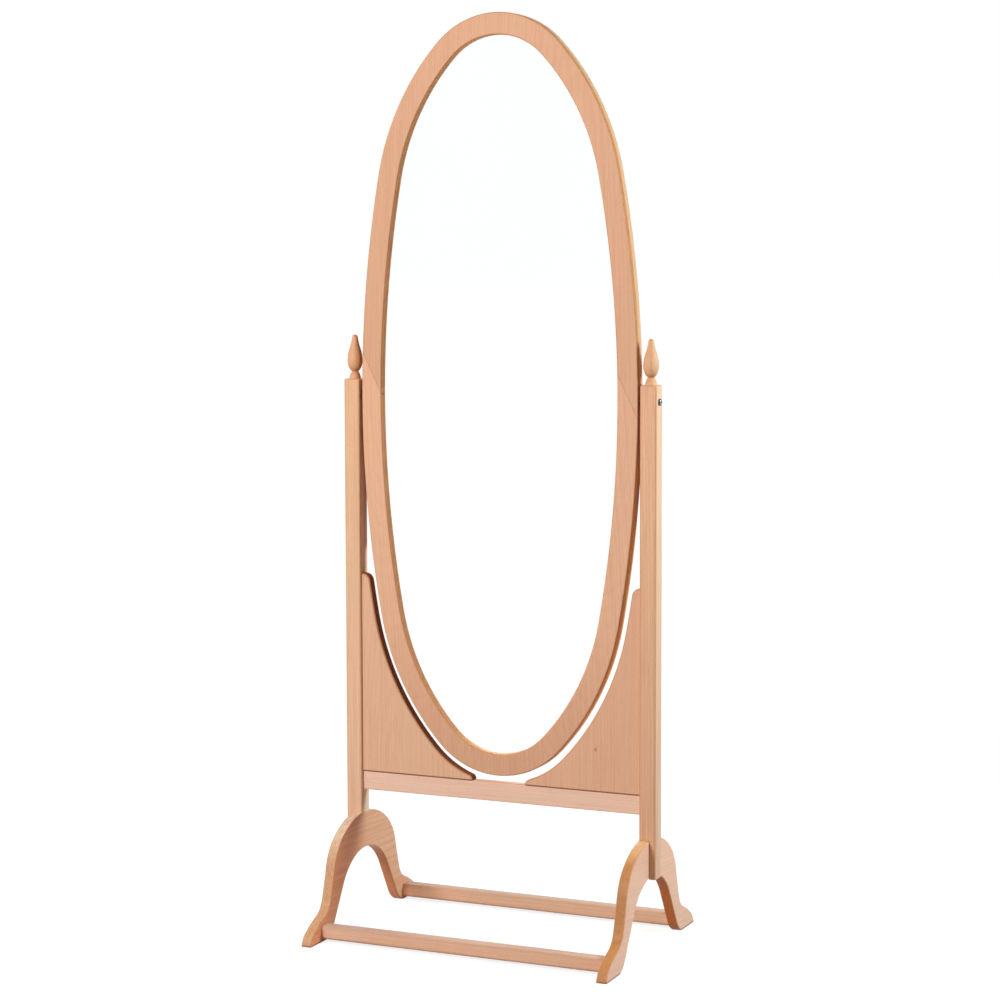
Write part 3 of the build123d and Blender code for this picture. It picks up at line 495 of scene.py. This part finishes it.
wooden_nodes = {
    # Left post: its inner face lighter, painted light, and painted shade in its inner rear corner
    "left_post": beech(
        "beech_left_post", grain=UP, tone=(238, 191, 160), seed=1, figure=1.8, post_x=-POST_X,
        drift=Drift(UP, start=0.20, end=0.95, tint=(0.96, 0.96, 0.85)),
        facing=Facing(ACROSS, tint=(1.14, 1.17, 1.17)), seams=[inner_corner_shade],
    ),
    "right_post": beech(
        "beech_right_post", grain=UP, tone=(227, 175, 141), seed=2, figure=2.2, post_x=POST_X,
        drift=Drift(UP, start=0.20, end=0.95, tint=(1.12, 1.17, 1.15)),
    ),
    # Painted shade on the left finial's side that looks right and back, towards the oval
    "left_finial": beech(
        "beech_left_finial", grain=UP, tone=(230, 172, 132), seed=3, flat_side=UP,
        facing=Facing((0.60, 0.80, 0), tint=(0.62, 0.52, 0.42)),
    ),
    "right_finial": beech("beech_right_finial", grain=UP, tone=(227, 171, 130), seed=4, flat_side=UP),
    # Feet: crown paints light on the top edges, facing DOWN paints shade under the arches, and rim is the
    # browner end grain with painted shade where the two feet differ. The left foot's drift paints warm
    # light on its front, and the floor line is painted shade
    "left_foot": beech(
        "beech_left_foot", grain=(0, 1, -0.02), tone=(237, 173, 134), seed=5, flat_side=ACROSS, figure=2.1,
        arris=0.6, rim=(0.82, 0.90, 0.88), crown=Crown(start=0.128, end=0.180, tint=(1.28, 1.75, 2.30)),
        facing=Facing(DOWN, tint=(1.20, 0.82, 0.68)),
        drift=Drift(DEEP, start=0.03, end=-0.08, tint=(1.20, 0.96, 0.80)), seams=[floor_shade_line],
    ),
    "right_foot": beech(
        "beech_right_foot", grain=(0, 1, -0.06), tone=(240, 182, 150), seed=6, flat_side=ACROSS, figure=0.8,
        arris=0.6, rim=(0.61, 0.48, 0.25), crown=Crown(start=0.163, end=0.192, tint=(1.35, 1.78, 2.55)),
        facing=Facing(DOWN, tint=(0.99, 0.60, 0.37)), seams=[floor_shade_line],
    ),
    # The stretchers' drifts lighten their left ends, painted light in the shadow of the left foot
    "front_stretcher": beech(
        "beech_front_stretcher", grain=ACROSS, tone=(232, 179, 149), seed=7, facing=stretcher_top_shade,
        drift=Drift(ACROSS, start=-0.12, end=-0.27, tint=(1.04, 1.12, 1.17)),
    ),
    "rear_stretcher": beech(
        "beech_rear_stretcher", grain=ACROSS, tone=(230, 180, 150), seed=8, facing=stretcher_top_shade,
        drift=Drift(ACROSS, start=-0.10, end=-0.27, tint=(1.22, 1.10, 1.03)),
    ),
    "cross_rail": beech("beech_rail", grain=ACROSS, tone=(242, 199, 174), seed=9),
    # The left panel's dark narrow edges are painted shade
    "left_panel": beech(
        "beech_left_panel", grain=UP, tone=(232, 183, 151), seed=10, arris=0.6, gloss=LOW_GLOSS,
        rim=(0.34, 0.15, 0.06), arches=Arches(x=0.20, z=0.22, squash=0.14, strength=0.15),
        seams=[rail_shade_line, left_post_shade_line],
    ),
    "right_panel": beech(
        "beech_right_panel", grain=UP, tone=(230, 177, 144), seed=11, arris=0.6, gloss=LOW_GLOSS,
        rim=(0.95, 0.80, 0.58), knot=Knot(x=0.1832, z=0.3448, radius=0.0034), seams=[rail_shade_line, right_post_shade_line],
    ),
    # outer paints light and shade on the oval's outer edge; the seams are glue joints
    "frame_upper": beech(
        "beech_frame_upper", grain=(0.02, 0, 1), tone=(222, 171, 138), seed=12, arris=0.7, gloss=LOW_GLOSS,
        rim=OVAL_RIM, outer=PaintedEdgeLight(front_tint=(0.80, 0.66, 0.42), back_tint=(1.04, 1.14, 1.45)),
        drift=Drift(ACROSS, start=-0.22, end=0.22, tint=(1.05, 1.05, 1.06)), seams=glue_joints,
    ),
    "frame_lower": beech(
        "beech_frame_lower", grain=(-0.06, 0, 1), tone=(234, 182, 149), seed=13, arris=0.7, gloss=LOW_GLOSS,
        rim=OVAL_RIM, outer=PaintedEdgeLight(front_tint=(1.04, 0.91, 0.50), back_tint=(1.06, 1.00, 0.62)),
        arches=Arches(x=0.20, z=0.92, squash=0.30, strength=0.11),
        drift=Drift(UP, start=0.62, end=0.29, tint=(0.88, 0.84, 0.81)), seams=glue_joints,
    ),
}
for name, material in wooden_nodes.items():
    dress(material, name)
dowel_nodes = [name for name in nodes if name.endswith("dowels")]
dress(beech("beech_dowels", grain=ACROSS, tone=(226, 180, 150), seed=14), *dowel_nodes)
dress(silvered_glass("silvered_glass"), "mirror_glass")
dress(hardboard("hardboard"), "backing_board")
dress(metal("clip_steel", (190, 190, 186), roughness=0.34), "backing_clips", "clip_screws")
dress(bolt_metal("nickel", (196, 194, 190), reflection_and_shade=(44, 42, 40)), "left_pivot_bolt", "right_pivot_bolt")
# The spacer washers' near-black colour is painted shade for the dark gap between each post and the oval
dress(plastic("washer_black", (38, 34, 31)), "spacer_washers")
dress(metal("brass", (206, 168, 92), roughness=0.30), "pivot_inserts")


def seen_directly(n):
    """1 for what the camera sees, also in a mirror or through glass, and 0 for light on the object."""
    path = n.add("LightPath")
    seen = n.larger(path.outputs["Is Camera Ray"], path.outputs["Is Glossy Ray"])
    return n.larger(seen, path.outputs["Is Transmission Ray"])


# Floor: the grey that it throws light back with, the part of its white that lamps give and so shadows take,
# the glow that gives the rest, and how far from the middle the shadow fades out, in metres
BOUNCE_GREY = (0.40, 0.40, 0.40, 1.0)
SHADOW_GREY = (0.30, 0.30, 0.30, 1.0)
NEAR_GLOW = 0.80
FAR_GLOW = 1.02
SHADOW_FADE = (0.7, 2.2)
FLOOR_REACH = 60.0


def floor_white(name):
    """White floor that keeps the shadow near the object, and throws back the light of a grey one."""
    n = Nodes(bpy.data.materials.new(name))
    plain = n.add("BsdfDiffuse")
    plain.inputs["Color"].default_value = BOUNCE_GREY
    shaded = n.add("BsdfDiffuse")
    away = n.length(n.add("TexCoord").outputs["Object"])
    fade = n.ramp(away, *SHADOW_FADE)
    n.link(n.mix(fade, SHADOW_GREY, BLACK), shaded.inputs["Color"])
    glow = n.add("Emission")
    n.link(n.math("MULTIPLY_ADD", fade, FAR_GLOW - NEAR_GLOW, NEAR_GLOW), glow.inputs["Strength"])
    lit = n.add("AddShader")
    n.link(shaded.outputs[0], lit.inputs[0])
    n.link(glow.outputs[0], lit.inputs[1])
    swap = n.add("MixShader")
    n.link(seen_directly(n), swap.inputs[0])
    n.link(plain.outputs[0], swap.inputs[1])
    n.link(lit.outputs[0], swap.inputs[2])
    n.link(swap.outputs[0], n.surface)
    return n.owner


floor_corners = [
    (x_sign * FLOOR_REACH, y_sign * FLOOR_REACH, 0)
    for x_sign, y_sign in [(-1, -1), (1, -1), (1, 1), (-1, 1)]
]
floor_mesh = bpy.data.meshes.new("floor")
floor_mesh.from_pydata(floor_corners, [], [(0, 1, 2, 3)])
floor_mesh.materials.append(floor_white("floor_white"))
floor = bpy.data.objects.new("floor", floor_mesh)
scene.collection.objects.link(floor)

# Surroundings: white where they are seen, and dim as light on the object
AMBIENT = 0.03
scene.world = bpy.data.worlds.new("studio")
sky = Nodes(scene.world, "OutputWorld")
background = sky.add("Background")
background.inputs["Color"].default_value = WHITE
sky_strength = sky.math("MULTIPLY_ADD", seen_directly(sky), 1.0 - AMBIENT, AMBIENT)
sky.link(sky_strength, background.inputs["Strength"])
sky.link(background.outputs[0], sky.surface)


def softbox(name, place, aim, size, power, colour=(1.0, 1.0, 1.0), in_gloss=True):
    """Rectangular studio lamp that faces a point."""
    lamp = bpy.data.lights.new(name, "AREA")
    lamp.shape = "RECTANGLE"
    lamp.size, lamp.size_y = size
    lamp.energy = power
    lamp.color = colour
    obj = bpy.data.objects.new(name, lamp)
    obj.location = place
    obj.rotation_euler = (Vector(aim) - Vector(place)).to_track_quat("-Z", "Y").to_euler()
    obj.visible_camera = False
    obj.visible_glossy = in_gloss
    scene.collection.objects.link(obj)


softbox("key", place=(-1.2, -3.8, 2.8), aim=(0.0, 0.0, 0.9), size=(1.4, 1.4), power=174.0)
softbox("fill", place=(-2.6, -2.2, 1.6), aim=(0.0, 0.0, 0.7), size=(1.4, 1.4), power=8.0)
softbox(
    "rim", place=(2.3, 0.56, 1.75), aim=(0.2, 0.0, 0.65), size=(0.9, 1.0), power=71.0,
    colour=(0.82, 1.03, 1.15),
)
softbox(
    "back", place=(-1.9, 3.0, 2.4), aim=(0.0, 0.0, 0.8), size=(1.6, 1.6), power=50.0, in_gloss=False
)

# Camera at the photograph's viewpoint, to the right of the object's front and looking slightly down
AZIMUTH = math.radians(23.959)
PITCH = math.radians(4.765)
ROLL = -0.0026
CAMERA_PLACE = (1.8178, -4.0892, 1.2284)
level_ahead = Vector((-math.sin(AZIMUTH), math.cos(AZIMUTH), 0.0))
ahead = level_ahead * math.cos(PITCH) - Vector(UP) * math.sin(PITCH)
right = Vector((math.cos(AZIMUTH), math.sin(AZIMUTH), 0.0))
above = right.cross(ahead)
rolled_right = right * math.cos(ROLL) + above * math.sin(ROLL)
rolled_up = above * math.cos(ROLL) - right * math.sin(ROLL)
turn = Matrix((rolled_right, rolled_up, -ahead)).transposed()
lens = bpy.data.cameras.new("camera")
lens.sensor_width = 36.0
lens.lens = 93.21
lens.shift_y = -0.05
lens.clip_end = 200.0
camera = bpy.data.objects.new("camera", lens)
camera.matrix_world = Matrix.Translation(CAMERA_PLACE) @ turn.to_4x4()
scene.collection.objects.link(camera)
scene.camera = camera

scene.view_settings.view_transform = "Standard"
